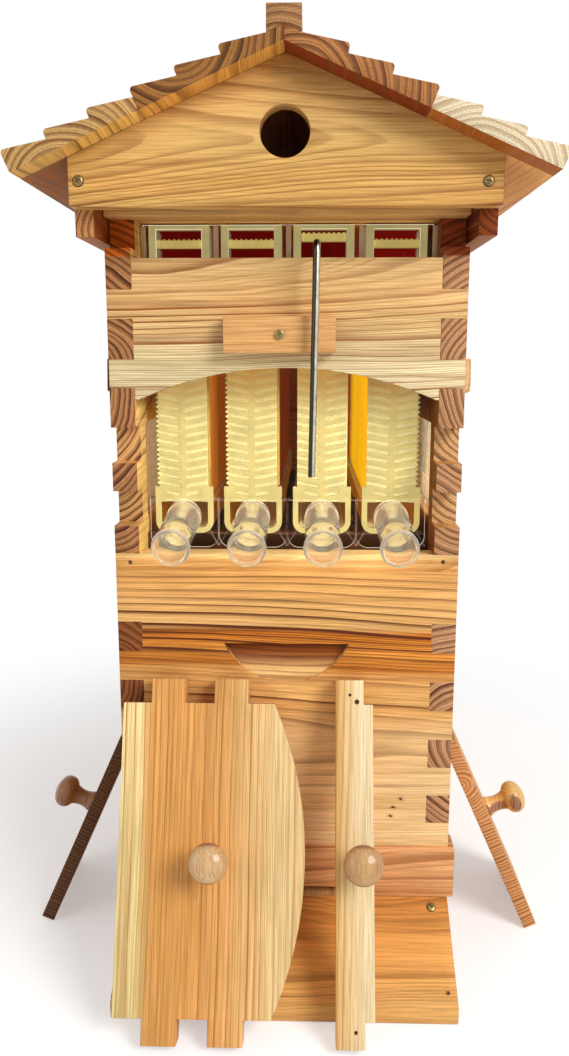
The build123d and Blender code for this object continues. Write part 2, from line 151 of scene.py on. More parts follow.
def tone(red, green, blue):  # a colour as read off a screen, 0 to 255
    linear = []
    for level in (red, green, blue):
        share = level / 255
        linear.append(share / 12.92 if share <= 0.04045 else ((share + 0.055) / 1.055) ** 2.4)
    return (*linear, 1.0)


black = (0, 0, 0, 1)
white = (1, 1, 1, 1)


def newGroup(name, inputs, outputs):
    tree = bpy.data.node_groups.new(name, "ShaderNodeTree")
    building.append(tree)
    for way, sockets in (("INPUT", inputs), ("OUTPUT", outputs)):
        for label, kind in sockets.items():
            tree.interface.new_socket(name=label, in_out=way, socket_type="NodeSocket" + kind)
    return tree, tree.nodes.new("NodeGroupInput").outputs, tree.nodes.new("NodeGroupOutput").inputs


def newMaterial(name):
    material = bpy.data.materials.new(name)
    material.use_nodes = True
    material.node_tree.nodes.clear()
    building.append(material.node_tree)
    return material


def surface(shader):
    addNode("OutputMaterial", {"Surface": shader.outputs[0]})


# timber: growth rings round the heart of the log, cut by the board's faces
def buildTimber():
    tree, given, out = newGroup(
        "timberGrain",
        {"Board": "Vector", "End": "Float", "Early": "Color", "Late": "Color", "End Early": "Color",
         "End Late": "Color", "Contrast": "Float", "Ring Width": "Float", "Pith Across": "Float",
         "Pith Depth": "Float", "Taper": "Float", "Wander": "Float", "Seed": "Float"},
        {"Colour": "Color", "Roughness": "Float", "Height": "Float"},
    )
    board, wander, key = given["Board"], given["Wander"], given["Seed"]
    seed = addNode("CombineXYZ", {0: key, 1: times(key, 1.7), 2: times(key, 0.6)}).outputs[0]
    parts = split(board)

    def veil(scale, detail=2.0, rough=0.5, result=0):  # noise drawn out along the grain
        return noise(stretched(board, scale, seed), 1.0, detail, rough, result)

    sway = split(veil((2.2, 9.0, 9.0), result=1))
    quick = veil((9.0, 60.0, 60.0))

    def swayed(place, pith, wave):
        push = times(calc("SUBTRACT", wave, 0.5), wander)
        return calc("MULTIPLY_ADD", push, 4.0, calc("SUBTRACT", place, pith))

    def squared(length):
        return calc("POWER", calc("ABSOLUTE", length), 2.0)

    across = swayed(parts[1], given["Pith Across"], sway[0])
    depth = swayed(parts[2], given["Pith Depth"], sway[1])
    reach = calc("SQRT", calc("ADD", squared(across), squared(depth)))
    reach = calc("MULTIPLY_ADD", parts[0], given["Taper"], reach)
    reach = calc("MULTIPLY_ADD", calc("SUBTRACT", quick, 0.5), times(wander, 0.25), reach)
    rings = calc("DIVIDE", reach, given["Ring Width"])
    drift = calc("MULTIPLY_ADD", rings, 0.31, key)
    uneven = addNode("TexNoise", {"W": drift, "Scale": 1.0, "Detail": 1.0}, noise_dimensions="1D").outputs[0]
    rings = calc("MULTIPLY_ADD", uneven, 1.6, rings)
    cell = calc("FLOOR", rings)

    def chance(count):  # one value for each ring
        return addNode("TexWhiteNoise", {"W": count}, noise_dimensions="1D").outputs[0]

    def lateLine(count, sharp):  # slow darkening, then a sharp outer edge
        share = calc("FRACT", count)
        return times(calc("POWER", spread(share, 0.35, 0.93), sharp), fall(share, 0.95, 1.0))

    late = lateLine(rings, 2.2)
    fine = lateLine(calc("MULTIPLY_ADD", rings, 3.0, times(quick, 0.6)), 2.2)
    year = chance(calc("ADD", cell, key))
    fade = veil((3.0, 22.0, 22.0))
    endLate = times(lateLine(rings, 0.5), spread(year, 0.0, 1.0, 0.65, 1.0, False))
    endLate = calc("MAXIMUM", endLate, times(fine, 0.6))
    year = times(spread(year, 0.0, 1.0, 0.30, 1.0, False), spread(fade, 0.30, 0.62, 0.45, 1.0))
    late = calc("MAXIMUM", times(late, year), times(fine, spread(fade, 0.35, 0.65, 0.38, 0.08)))

    fibre = veil((22.0, 900.0, 900.0), 3.0, 0.6)
    streak = veil((3.0, 120.0, 120.0))
    blotch = veil((4.0, 16.0, 16.0))

    def tinted(red, green, blue):
        return addNode("CombineColor", {0: red, 1: green, 2: blue}).outputs[0]

    strong = calc("MULTIPLY", times(late, given["Contrast"]), 1.5, clamp=True)
    band = spread(chance(calc("MULTIPLY_ADD", cell, 1.37, key)), 0.0, 1.0, 0.90, 1.05, False)
    bandColour = tinted(calc("POWER", band, 0.6), band, calc("POWER", band, 1.5))
    face = mixColour(strong, mixColour(1.0, given["Early"], bandColour, "MULTIPLY"), given["Late"])
    streak = times(spread(streak, 0.52, 0.74, 0.0, 0.45), given["Contrast"])
    face = mixColour(streak, face, given["Late"])
    ends = mixColour(endLate, given["End Early"], given["End Late"])
    colour = mixColour(given["End"], face, ends)
    grey = times(spread(fibre, 0.28, 0.72, 0.78, 1.14), spread(blotch, 0.25, 0.75, 0.88, 1.10))
    greyColour = tinted(grey, grey, calc("POWER", grey, 1.35))
    feed(out["Colour"], mixColour(1.0, colour, greyColour, "MULTIPLY"))
    gloss = calc("MULTIPLY_ADD", late, -0.10, spread(fibre, 0.2, 0.8, 0.44, 0.62))
    feed(out["Roughness"], calc("MULTIPLY_ADD", given["End"], 0.22, gloss))
    feed(out["Height"], calc("MULTIPLY_ADD", late, 0.6, fibre))
    return tree


timberGroup = buildTimber()


# a knot with its dark eye and the ring of pressed grain round it
def buildKnot():
    tree, given, out = newGroup(
        "knotEye",
        {"Board": "Vector", "Place": "Vector", "Size": "Float"},
        {"Eye": "Float", "Ring": "Float"},
    )
    away = addNode("VectorMath", {0: given["Board"], 1: given["Place"]}, operation="SUBTRACT").outputs[0]
    flat = addNode("VectorMath", {0: away, 1: (0.62, 1.0, 0.05)}, operation="MULTIPLY").outputs[0]
    span = addNode("VectorMath", {0: flat}, operation="LENGTH").outputs["Value"]
    ragged = calc("SUBTRACT", noise(given["Board"], 260.0), 0.5)
    span = calc("DIVIDE", calc("MULTIPLY_ADD", ragged, 0.003, span), given["Size"])
    feed(out["Eye"], fall(span, 0.55, 1.0))
    feed(out["Ring"], fall(span, 0.9, 2.6))
    return tree


knotGroup = buildKnot()
print("grain groups built")


def basis(along, across):
    first = Vector(along).normalized()
    second = Vector(across).normalized()
    return Matrix((first, second, first.cross(second)))


leanFront = math.radians(21.0)
leanSide = math.radians(24.0)
slopeRoof = math.radians(23.6)
landingRise = math.atan2(50.0, 75.0)
grainLay = {  # grain direction, then the direction across the board
    "front": basis((1, 0, 0), (0, 0, 1)),
    "side": basis((0, 1, 0), (0, 0, 1)),
    "flat": basis((0, 1, 0), (1, 0, 0)),
    "landing": basis((1, 0, 0), (0, math.cos(landingRise), math.sin(landingRise))),
    "leaning": basis((0, math.sin(leanFront), math.cos(leanFront)), (1, 0, 0)),
    "leaningRight": basis((0, 1, 0), (-math.sin(leanSide), 0, math.cos(leanSide))),
    "leaningLeft": basis((0, 1, 0), (math.sin(leanSide), 0, math.cos(leanSide))),
    "slopeRight": basis((0, 1, 0), (math.cos(slopeRoof), 0, -math.sin(slopeRoof))),
    "slopeLeft": basis((0, 1, 0), (-math.cos(slopeRoof), 0, -math.sin(slopeRoof))),
}
plainBoard = {
    "late": (168, 104, 52), "contrast": 0.7, "ring": 0.005, "pith": (0.0, -0.06), "taper": 0.03, "wander": 0.006,
    "ends": ((186, 132, 92), (108, 60, 38)), "recess": (), "knots": (), "varnish": 0.0}  # ends: early, late wood
gableFace = -0.297  # front of the gable, which the roof slats stand out past
fingerBack = -0.240  # fingers of the super behind this are set back
fingerTop = 0.108  # foot of its top finger, from the board's middle


def wood(lay, *colours, **look):  # tones at even steps across the board, or given with their places
    even = [(step / (len(colours) - 1), colour) for step, colour in enumerate(colours)]
    return lay, {**plainBoard, "tones": even, **look}


def timberMaterial(name, lay, centre, width, look):
    material = newMaterial(name)
    turn = grainLay[lay]
    coords = addNode("TexCoord").outputs
    angles = turn.to_euler()
    origin = -(turn @ Vector(centre))
    board = addNode("Mapping", {"Vector": coords["Object"], "Location": origin, "Rotation": angles}).outputs[0]
    normal = addNode("Mapping", {"Vector": coords["Normal"], "Rotation": angles}, vector_type="VECTOR").outputs[0]
    ends = spread(calc("ABSOLUTE", split(normal)[0]), 0.72, 0.92)
    along, across, depth = split(board)
    drift = noise(stretched(board, (2.5, 10.0, 10.0), (look["seed"], 3.0, 1.0)), 1.0, 1.0)
    share = calc("ADD", calc("MULTIPLY_ADD", across, 1.0 / width, 0.5), calc("MULTIPLY_ADD", drift, 0.16, -0.08))
    ramp = addNode("ValToRGB", {0: share})
    stops = ramp.color_ramp.elements
    while len(stops) < len(look["tones"]):
        stops.new(0.5)
    for stop, (spot, colour, *strength) in zip(stops, look["tones"]):
        stop.position = spot
        stop.color = (*tone(*colour)[:3], strength[0] if strength else 1.0)  # alpha is the grain's strength
    early = ramp.outputs["Color"]
    for deep, shallow, colour in look["recess"]:  # painted light and shade in hollows below the face and on inner faces
        early = mixColour(fall(depth, deep, shallow), early, tone(*colour))
    if "rake" in look:  # painted light and shade on the underside of the roof in front of the gable
        under = fall(split(coords["Normal"])[2], -0.6, -0.3)
        ahead = fall(along, gableFace - 0.001, gableFace + 0.001)
        early = mixColour(times(under, ahead), early, tone(*look["rake"]))
    endEarly, endLate = (tone(*colour) for colour in look["ends"])
    if "endTop" in look:  # fingers set back from the front, then painted shade on the top one in front
        behind = spread(along, fingerBack - 0.004, fingerBack)
        endEarly = mixColour(behind, endEarly, tone(*look["endBack"]))
        shaded = times(spread(across, fingerTop, fingerTop + 0.002), fall(along, -0.01, 0.01))
        endEarly = mixColour(shaded, endEarly, tone(*look["endTop"]))
    grain = addNode("Group", {
        "Board": board, "End": ends, "Early": early, "Late": tone(*look["late"]),
        "End Early": endEarly, "End Late": endLate,
        "Contrast": times(ramp.outputs["Alpha"], look["contrast"]), "Ring Width": look["ring"],
        "Pith Across": look["pith"][0], "Pith Depth": look["pith"][1],
        "Taper": look["taper"], "Wander": look["wander"], "Seed": look["seed"]}, node_tree=timberGroup).outputs
    colour = grain["Colour"]
    for spot, size in look["knots"]:
        knot = addNode("Group", {"Board": board, "Place": spot, "Size": size}, node_tree=knotGroup).outputs
        colour = mixColour(times(knot["Ring"], 0.45), colour, tone(176, 112, 58))
        colour = mixColour(knot["Eye"], colour, tone(46, 24, 14))
    surface(addNode("BsdfPrincipled", {
        "Base Color": colour, "Roughness": grain["Roughness"], "Normal": relief(0.22, 0.0006, grain["Height"]),
        "Specular IOR Level": 0.22, "Coat Weight": look["varnish"], "Coat Roughness": 0.12}))
    return material


def alone(piece):  # one object selected and active, nothing else
    bpy.ops.object.select_all(action="DESELECT")
    piece.select_set(True)
    bpy.context.view_layer.objects.active = piece


def editAll():
    bpy.ops.object.mode_set(mode="EDIT")
    bpy.ops.mesh.select_all(action="SELECT")


def leaveEdit():
    bpy.ops.object.mode_set(mode="OBJECT")


def smoothUnder(degrees):
    bpy.ops.object.shade_smooth_by_angle(angle=math.radians(degrees))


def copyOf(node, name):  # a merged copy of a CAD solid, with clean flat faces
    piece = bpy.data.objects.new(name, nodes[node].data.copy())
    scene.collection.objects.link(piece)
    alone(piece)
    editAll()
    bpy.ops.mesh.remove_doubles(threshold=0.000002)
    bpy.ops.mesh.customdata_custom_splitnormals_clear()
    bpy.ops.mesh.dissolve_limited(angle_limit=math.radians(0.2))
    leaveEdit()
    return piece


def easeEdges(piece, width):
    alone(piece)
    bpy.ops.object.modifier_add(type="BEVEL")
    bevel = piece.modifiers[-1]
    bevel.width = width
    bevel.segments = 2
    bevel.limit_method = "ANGLE"
    bevel.angle_limit = math.radians(38)
    bpy.ops.object.modifier_apply(modifier=bevel.name)
    smoothUnder(32)


def nodeTimber(node, lay, look):  # the timber of one node, centred on it
    low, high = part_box(node)
    across = [(grainLay[lay] @ vertex.co).y for vertex in nodes[node].data.vertices]
    return timberMaterial(node + "_timber", lay, (low + high) / 2, max(across) - min(across), look)


boards = {}
boardEase = 0.0007


def dressBoard(node, lay, look, slot):
    piece = copyOf(node, node + "_board")
    easeEdges(piece, boardEase)
    piece.data.materials.clear()
    piece.data.materials.append(nodeTimber(node, lay, look))
    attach(piece, nodes[node]["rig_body"])
    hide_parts(node)
    boards[node] = piece


def dressNode(node, material):  # a CAD solid that stays, with a better finish
    for slot in nodes[node].material_slots:
        slot.material = material


# base and landing board
baseTimber = {
    "base_side_left": wood("side", (190, 128, 68), (206, 146, 82), pith=(0.05, -0.05),
        ends=((166, 112, 70), (92, 52, 28)), seed=1.3),
    "base_side_right": wood("side", (196, 134, 74), (210, 150, 86), pith=(-0.04, -0.06),
        ends=((166, 112, 70), (92, 52, 28)), seed=2.1),
    "base_cross_boards": wood("front", (205, 150, 90), (215, 165, 105), seed=3.4),
    "floor_board": wood("flat", (210, 160, 100), (220, 172, 112), seed=4.2),
    "landing_board": wood("landing", tones=[(0.0, (246, 186, 110)), (0.35, (244, 176, 94)), (0.7, (238, 164, 84)),
        (1.0, (230, 152, 72))], late=(122, 60, 18), contrast=0.6, ring=0.0085, pith=(0.012, -0.022), taper=0.02,
        wander=0.014, seed=5.5),
    "rim_front": wood("front", (232, 166, 108), (238, 174, 116), late=(164, 98, 50), contrast=0.8, ring=0.007,
        pith=(0.03, -0.05), seed=6.1),
    "rim_rear": wood("front", (206, 148, 92), (214, 156, 98), seed=6.9),
    "rim_left": wood("side", (204, 148, 90), (214, 158, 98), seed=7.4),
    "rim_right": wood("side", (208, 150, 92), (216, 160, 100), seed=8.2),
}
for node, timber in baseTimber.items():
    dressBoard(node, *timber, "fir")
print("base dressed")

# brood box
broodSide = dict(tones=[(0.0, (226, 172, 108)), (0.5, (222, 160, 92)), (1.0, (214, 144, 72))], late=(150, 86, 36),
                 ring=0.006, wander=0.009)
broodTimber = {
    "brood_front": wood("front", tones=[(0.0, (250, 206, 146), 0.25), (0.4, (252, 208, 146), 0.3),
        (0.5, (240, 178, 104), 0.6), (0.58, (244, 186, 112), 0.7), (0.64, (238, 168, 92), 0.7),
        (0.66, (206, 122, 40), 1.2), (0.71, (236, 152, 60), 1.3), (0.78, (218, 122, 26), 1.7),
        (0.8, (242, 188, 116), 0.8), (1.0, (234, 172, 98), 0.8)], late=(100, 44, 6), contrast=1.1, ring=0.0065,
        pith=(-0.03, -0.05), taper=0.02, ends=((182, 126, 82), (66, 36, 18)),
        # painted light and shade in the hand-hold: paler where shallow, darker where deep
        recess=[(0.007, 0.0098, (248, 196, 126)), (0.0005, 0.0072, (160, 82, 14))],
        knots=[((0.098, -0.078, 0.01), 0.0013), ((0.092, -0.086, 0.01), 0.001), ((0.09, -0.094, 0.01), 0.0011)],
        seed=11.7),
    "brood_rear": wood("front", (230, 180, 118), (222, 160, 90), (216, 150, 80), late=(150, 86, 36), ring=0.007,
        pith=(0.03, -0.05), seed=12.9),
    "brood_left": wood("side", **broodSide, pith=(0.02, -0.034), ends=((156, 90, 44), (62, 22, 4)), seed=13.3),
    "brood_right": wood("side", **broodSide, pith=(-0.03, 0.03), ends=((216, 160, 116), (96, 48, 24)), seed=14.8),
}
for node, timber in broodTimber.items():
    dressBoard(node, *timber, "fir")
print("brood box dressed")

# super
superSide = dict(tones=[(0.0, (224, 168, 102)), (0.5, (218, 158, 92)), (1.0, (228, 178, 114))], late=(152, 88, 38),
                 ring=0.0056, taper=0.02, wander=0.009)
superTimber = {
    "super_front": wood("front", tones=[(0.0, (255, 238, 192), 0.95), (0.3, (255, 234, 182), 0.9),
        (0.46, (246, 208, 146), 1.0), (0.6, (242, 198, 134), 0.8), (0.75, (240, 194, 128), 0.5),
        (1.0, (244, 202, 138), 0.5)], late=(150, 86, 34), contrast=1.35, ring=0.0046, pith=(0.062, -0.055),
        taper=0.02, wander=0.008, seed=21.2),
    "super_rail": wood("front", tones=[(0.0, (238, 180, 108), 0.9), (0.14, (228, 154, 78), 0.9),
        (0.3, (238, 184, 112), 0.6), (0.55, (226, 160, 92), 0.8), (0.75, (242, 194, 126), 0.5),
        (1.0, (246, 206, 142), 0.5)], late=(170, 104, 46), contrast=0.8, ring=0.004, pith=(0.02, -0.05), wander=0.009,
        seed=22.6),
    "super_rear": wood("front", (226, 176, 110), (214, 158, 94), (232, 190, 126), seed=23.5),
    # painted light on super_left's inner face, painted shade on super_right's
    "super_left": wood("side", **superSide, pith=(0.0, -0.05), ends=((188, 130, 82), (78, 34, 8)),
        endBack=(232, 174, 108), endTop=(236, 116, 28), recess=[(0.0099, 0.0092, (255, 212, 128))], seed=24.1),
    "super_right": wood("side", **superSide, pith=(0.01, 0.05), ends=((216, 158, 112), (70, 26, 4)),
        endBack=(240, 184, 126), endTop=(160, 72, 28), recess=[(-0.0099, -0.0092, (126, 66, 24))], seed=25.7),
    "frame_rests": wood("front", (92, 52, 28), (100, 58, 32), late=(58, 30, 16), seed=26.3),
    "front_turn_block": wood("front", (226, 168, 104), (232, 178, 114), late=(190, 124, 66), contrast=0.6,
        ring=0.0032, pith=(0.03, -0.03), seed=27.4),
    # the left block is toned darker and the right one paler than the front block, as painted shade and painted light
    "left_turn_block": wood("side", (216, 166, 110), (224, 174, 116), late=(190, 130, 80), contrast=0.5, ring=0.003,
        ends=((96, 62, 38), (58, 34, 20)), seed=28.2),
    "right_turn_block": wood("side", (244, 208, 146), (248, 216, 156), late=(206, 156, 100), contrast=0.5, ring=0.003,
        ends=((244, 210, 156), (190, 138, 84)), seed=29.6),
}
for node, timber in superTimber.items():
    dressBoard(node, *timber, "cover_fir" if "block" in node else "fir")
print("super dressed")

# inner cover and roof
roofTimber = {
    "inner_cover": wood("front", (240, 184, 108), (236, 176, 98), late=(196, 136, 88), contrast=0.5, ring=0.004,
        seed=31.1),
    "gable_front": wood("front", tones=[(0.0, (232, 180, 104)), (0.16, (230, 176, 98), 1.1),
        (0.3, (230, 182, 106), 0.9), (0.45, (222, 178, 106), 0.65), (0.7, (220, 172, 102), 0.55),
        (1.0, (204, 152, 84), 0.7)], late=(136, 74, 22), contrast=1.1, ring=0.0095, pith=(-0.006, -0.0232),
        taper=0.06, seed=32.6),
    "gable_rear": wood("front", (226, 170, 98), (232, 184, 112), (228, 178, 106), late=(160, 92, 36), contrast=0.9,
        ring=0.009, pith=(-0.01, -0.03), taper=0.06, seed=33.7),
    # painted shade on the roof rails' inner faces
    "roof_rail_left": wood("side", (180, 118, 62), (192, 130, 72), ring=0.0045, pith=(-0.02, 0.02),
        ends=((214, 150, 92), (84, 44, 18)), recess=[(0.0069, 0.0062, (150, 74, 24))], seed=34.5),
    "roof_rail_right": wood("side", (170, 104, 56), (182, 118, 66), ring=0.0045, pith=(0.02, 0.03),
        ends=((150, 68, 18), (78, 32, 10)), recess=[(-0.0069, -0.0062, (94, 28, 12))], seed=35.9),
    "roof_cleats": wood("side", (206, 150, 92), (214, 160, 100), seed=36.2),
    # rake tones: painted light under the left slats, painted shade under the right ones
    "roof_slat_upper_left": wood("slopeLeft", (206, 140, 72), (212, 148, 80), late=(150, 88, 36), ring=0.0058,
        pith=(0.01, 0.03), ends=((170, 114, 58), (80, 44, 18)), rake=(246, 178, 84), seed=37.3),
    "roof_slat_upper_right": wood("slopeRight", (176, 112, 62), (184, 120, 68), late=(124, 68, 32), ring=0.0058,
        pith=(-0.03, 0.03), ends=((178, 118, 66), (96, 54, 26)), rake=(138, 52, 12), seed=38.8),
    "roof_slat_lower_left": wood("slopeLeft", (152, 90, 26), (178, 110, 34), late=(126, 74, 34), ring=0.0058,
        pith=(0.02, -0.03), ends=((212, 166, 104), (116, 74, 36)), rake=(255, 200, 104), seed=39.4),
    "roof_slat_lower_right": wood("slopeRight", (255, 186, 108), (255, 192, 112), late=(190, 116, 70), ring=0.0058,
        pith=(0.0, 0.04), ends=((230, 214, 182), (176, 142, 98)), rake=(176, 98, 28), seed=40.1),
    "ridge_cap": wood("flat", (178, 122, 72), (188, 132, 80), ring=0.0045, pith=(0.0, 0.03),
        ends=((176, 128, 82), (104, 66, 38)), seed=41.6),
}
for node, timber in roofTimber.items():
    dressBoard(node, *timber, "plywood" if node == "inner_cover" else "roof_fir")
print("roof dressed")

# covers standing outside
coverTimber = {
    "arch_cover": wood("leaning", tones=[(0.0, (250, 228, 164)), (0.13, (246, 218, 150)), (0.19, (230, 168, 94)),
        (0.42, (230, 166, 92)), (0.62, (230, 174, 106)), (0.74, (236, 196, 132)), (0.84, (238, 206, 148)),
        (1.0, (236, 204, 146))], late=(182, 114, 52), contrast=0.8, ring=0.0045, pith=(0.15, -0.05), taper=0.008,
        wander=0.004, knots=[((-0.03, -0.012, 0.01), 0.001)], seed=51.3),
    "access_strip": wood("leaning", tones=[(0.0, (226, 178, 110), 1.2), (0.35, (232, 198, 140), 1.0),
        (0.6, (238, 212, 164), 0.35), (1.0, (236, 210, 164), 0.3)], late=(190, 136, 78), contrast=0.6,
        pith=(0.018, -0.02), taper=0.02, wander=0.004, seed=52.8),
    # the left cover is toned much darker than the right one, as painted shade
    "side_cover_left": wood("leaningLeft", (196, 132, 72), (206, 144, 82), ring=0.0034, pith=(0.06, 0.004),
        ends=((118, 78, 48), (50, 28, 16)), seed=53.5),
    "side_cover_right": wood("leaningRight", (226, 166, 106), (230, 174, 114), ring=0.0034, pith=(0.06, -0.004),
        ends=((236, 170, 110), (146, 82, 42)), seed=54.2),
}
for node, timber in coverTimber.items():
    dressBoard(node, *timber, "cover_fir")
print("covers dressed")

# turned knobs and the hanging frames keep their CAD shape
turnedTimber = {
    "arch_cover_knob": wood("leaning", (206, 164, 112), (216, 178, 126), (204, 160, 108), late=(170, 118, 70),
        contrast=0.45, ring=0.0022, pith=(0.02, -0.03), varnish=0.6, seed=61.4),
    "access_strip_knob": wood("leaning", (196, 146, 92), (212, 168, 112), (200, 152, 98), late=(160, 104, 58),
        contrast=0.5, ring=0.0024, pith=(-0.02, -0.02), varnish=0.6, seed=62.7),
    # the left knob is toned darker and the right one paler than the other knobs, as painted shade and painted light
    "side_cover_left_knob": wood("side", (160, 108, 58), (170, 118, 66), late=(120, 74, 36), contrast=0.45,
        ring=0.0022, varnish=0.6, seed=63.1),
    "side_cover_right_knob": wood("side", (244, 192, 114), (248, 200, 124), late=(206, 142, 72), contrast=0.45,
        ring=0.0022, varnish=0.6, seed=64.9),
    "brood_frames": wood("side", (226, 190, 136), (232, 198, 146), late=(188, 136, 84), ring=0.0035,
        pith=(0.05, -0.03), seed=65.2),
}
for node, timber in turnedTimber.items():
    dressNode(node, nodeTimber(node, *timber))
print("knobs and brood frames finished")


# honeycomb walls, seen on the broad sides of a comb
def buildCells():
    tree, given, out = newGroup(
        "combCells",
        {"Along": "Float", "Up": "Float", "Size": "Float"},
        {"Wall": "Float", "Hollow": "Float"},
    )
    along = calc("DIVIDE", given["Along"], given["Size"])
    up = calc("DIVIDE", given["Up"], given["Size"])
    rows = 2 * math.sin(math.radians(60))

    def fromMiddle(value, shift, period):
        wrapped = calc("FLOORED_MODULO", calc("ADD", value, shift), period)
        return calc("ABSOLUTE", calc("SUBTRACT", wrapped, period / 2))

    def toWall(shift):
        level = fromMiddle(along, shift, 1.0)
        upright = fromMiddle(up, shift * rows, rows)
        return calc("MAXIMUM", level, calc("MULTIPLY_ADD", upright, rows / 2, times(level, 0.5)))

    near = calc("MINIMUM", toWall(0.0), toWall(0.5))
    feed(out["Wall"], spread(near, 0.40, 0.47))
    feed(out["Hollow"], spread(near, 0.10, 0.47))
    return tree


cellGroup = buildCells()
cellSize = 0.0054
combFront = -0.2155  # front plane of the harvest frames
combLevels = {"trough": (0.400, 0.412), "cellFoot": (0.405, 0.407), "crown": (0.470, 0.525), "head": (0.590, 0.600),
              "cellTop": (0.596, 0.598)}
combDepths = {"edge": (0.001, 0.005), "dimUnderGlow": (0.003, 0.010), "glow": (0.004, 0.020), "inside": (0.0045, 0.012),
              "cells": (0.006, 0.012), "post": (0.010, 0.035)}  # from the front plane back


def combMaterial(name, look):
    material = newMaterial(name)
    coords = addNode("TexCoord").outputs
    place = split(coords["Object"])
    normal = split(coords["Normal"])
    depth = calc("SUBTRACT", place[1], combFront)
    cloud = noise(coords["Object"], 55.0, 3.0, 0.6)
    paint = {key: tone(*value) for key, value in look.items() if isinstance(value, tuple)}
    high = spread(place[2], *combLevels["head"])
    side = spread(calc("ABSOLUTE", normal[0]), 0.5, 0.8)
    outer = spread(times(normal[0], look["outer"]), 0.5, 0.8)  # faces a side window
    top = spread(normal[2], 0.5, 0.8)
    front = mixColour(spread(place[2], *combLevels["crown"], 0.0, 0.9), paint["front"], paint["crown"])
    front = mixColour(high, front, paint["head"])
    # painted shade: trough and head cavity turn honey brown and dark red inside
    inside = mixColour(high, paint["trough"], paint["cavity"])
    front = mixColour(spread(depth, *combDepths["inside"]), front, inside)
    # painted shade: flanks and posts darken further back from the front
    deeper = spread(depth, look["start"], look["reach"], smooth=False)
    flank = mixColour(deeper, paint["near"], paint["deep"])
    post = mixColour(spread(depth, *combDepths["post"]), paint["post"], paint["cavity"])
    flank = mixColour(fall(place[2], *combLevels["trough"]), flank, paint["trough"])
    flank = mixColour(high, flank, post)
    flank = mixColour(outer, flank, paint["capped"])
    flank = mixColour(fall(depth, *combDepths["edge"]), flank, front)
    cells = addNode("Group", {"Along": place[1], "Up": place[2], "Size": cellSize}, node_tree=cellGroup).outputs
    band = times(spread(place[2], *combLevels["cellFoot"]), fall(place[2], *combLevels["cellTop"]))
    band = times(band, spread(depth, *combDepths["cells"]))
    wall = times(times(cells["Wall"], side), band)
    rim = mixColour(outer, paint["wall"], paint["rim"])
    flank = mixColour(times(wall, spread(outer, 0.0, 1.0, 0.4, 0.8)), flank, rim)
    colour = mixColour(side, front, flank)
    colour = mixColour(top, colour, paint["top"])
    colour = mixColour(spread(cloud, 0.3, 0.7, 0.0, 0.12), colour, black)
    # painted light: an emission in the comb's own colour lights it evenly, weaker on fronts; the base colour is dimmed
    # there
    plain = spread(calc("MAXIMUM", outer, top), 0.0, 1.0, 1.0, 0.08)
    glow = times(spread(depth, *combDepths["glow"], look["frontGlow"], 1.0), plain)
    dimmedBase = mixColour(spread(depth, *combDepths["dimUnderGlow"], look["dimUnderGlow"], 0.0), colour, black)
    dent = times(times(cells["Hollow"], side), band)
    height = calc("MULTIPLY_ADD", cloud, 0.06, dent)
    surface(addNode("BsdfPrincipled", {
        "Base Color": dimmedBase, "Roughness": spread(cloud, 0.3, 0.7, 0.36, 0.52),
        "Normal": relief(0.5, 0.0012, height), "Emission Color": mixColour(glow, black, colour),
        "Emission Strength": look["glow"], "Specular IOR Level": 0.0}))
    return material


# combs: pale moulded fronts; honey-coloured flanks, trough and head cavity darkened deeper in as painted shade; a glow
# as painted light
combLook = {
    "front": (248, 230, 162), "crown": (226, 172, 80), "head": (214, 200, 146), "post": (150, 138, 108),
    "trough": (134, 78, 14), "cavity": (104, 14, 8), "wall": (226, 140, 24), "capped": (224, 164, 78),
    "rim": (248, 224, 164), "top": (226, 206, 150), "outer": 0.0, "start": 0.0, "glow": 0.55, "frontGlow": 0.80,
    "dimUnderGlow": 0.45}
barTone = (234, 214, 128)
combSides = {  # flank near the window, far behind it darkened as painted shade, and how far that change takes
    1: {"near": (214, 150, 50), "deep": (140, 66, 8), "reach": 0.10, "outer": -1.0},
    2: {"near": (206, 104, 12), "deep": (110, 16, 6), "reach": 0.08},
    3: {"near": (150, 44, 12), "deep": (84, 14, 8), "reach": 0.10},
    # painted light: the fourth comb's inner flank is bright yellow with a stronger glow, as if lit through the side
    # window
    4: {"near": (252, 200, 12), "deep": (120, 26, 8), "start": 0.24, "reach": 0.34, "outer": 1.0, "glow": 0.85,
        "frontGlow": 0.46, "crown": (204, 128, 28)},
}
for number, flanks in combSides.items():
    look = {**combLook, **flanks}
    dressNode("harvest_frame_%d" % number, combMaterial("comb_plastic_%d" % number, look))
    dressNode("lifting_comb_%d" % number, combMaterial("comb_bar_%d" % number, {**look, "head": barTone}))
waxLook = {
    **dict.fromkeys(("front", "crown", "head", "post", "top"), (226, 176, 88)),
    **dict.fromkeys(("trough", "cavity"), (214, 158, 70)), **dict.fromkeys(("wall", "rim"), (240, 204, 130)),
    **dict.fromkeys(("near", "capped"), (222, 168, 80)), "deep": (200, 140, 60), "start": 0.0, "reach": 0.3,
    "outer": 0.0, "glow": 0.02, "frontGlow": 0.0, "dimUnderGlow": 0.0}
dressNode("brood_foundations", combMaterial("wax_sheet", waxLook))
print("combs finished")

# clear plastics
coverLook = {"tint": (250, 251, 247), "haze": (0.015, 0.06), "clear": 1.0, "bend": 1.14, "glow": 0.9}
paneLook = {"tint": (250, 244, 228), "haze": (0.015, 0.05), "clear": 1.0, "bend": 1.2, "glow": 0.0,
            "slantShade": ((116, 84, 54), (240, 224, 182))}  # painted shade on the left-hand pane, a pale cream on the right-hand pane, seen along the pane
tubeLook = {"tint": (249, 240, 222), "haze": (0.01, 0.05), "clear": 0.95, "bend": 1.38, "glow": 0.14}
edgeLevels = {"ridge": (0.4055, 0.4085), "slot": (0.598, 0.601)}


